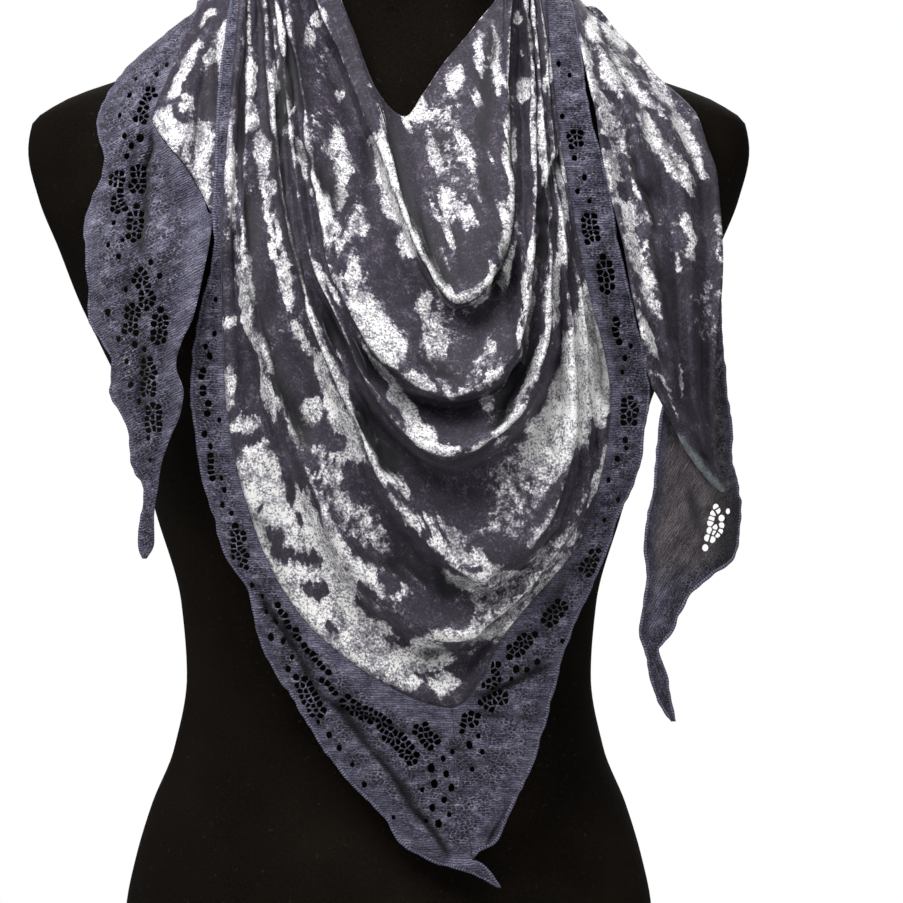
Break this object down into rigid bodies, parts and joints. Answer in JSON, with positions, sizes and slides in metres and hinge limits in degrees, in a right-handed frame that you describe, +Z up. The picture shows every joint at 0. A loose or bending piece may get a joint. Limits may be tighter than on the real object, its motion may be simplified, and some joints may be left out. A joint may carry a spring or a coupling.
{
  "type": "triangle scarf on a limbless dress form",
  "caption": "Velvet triangle scarf with an openwork trim, draped as a cowl round the neck of a limbless dress form, its ends brought forward over the shoulders.",
  "frame": {"origin": "centre of the dress form's flat base, on the surface it stands on", "axes": "+X to the right as seen from the front, +Y to the back of the form, +Z up"},
  "size_m": [0.3958, 0.2737, 0.66],
  "materials": {
    "velvet": "crushed pile with silver sheen",
    "trim": "matte crinkled gauze with openwork",
    "form": "matte black jersey over foam"
  },
  "bodies": {
    "root": {"dress_form": "form", "velvet_front": "velvet", "velvet_wrap_inner": "velvet", "velvet_wrap_outer": "velvet", "velvet_tail_left": "velvet", "velvet_tail_right": "velvet", "lace_front_left": "trim", "lace_front_right": "trim", "lace_wrap_inner": "trim", "lace_wrap_outer": "trim", "lace_tail_left": "trim", "lace_tail_right": "trim"}
  },
  "joints": []
}
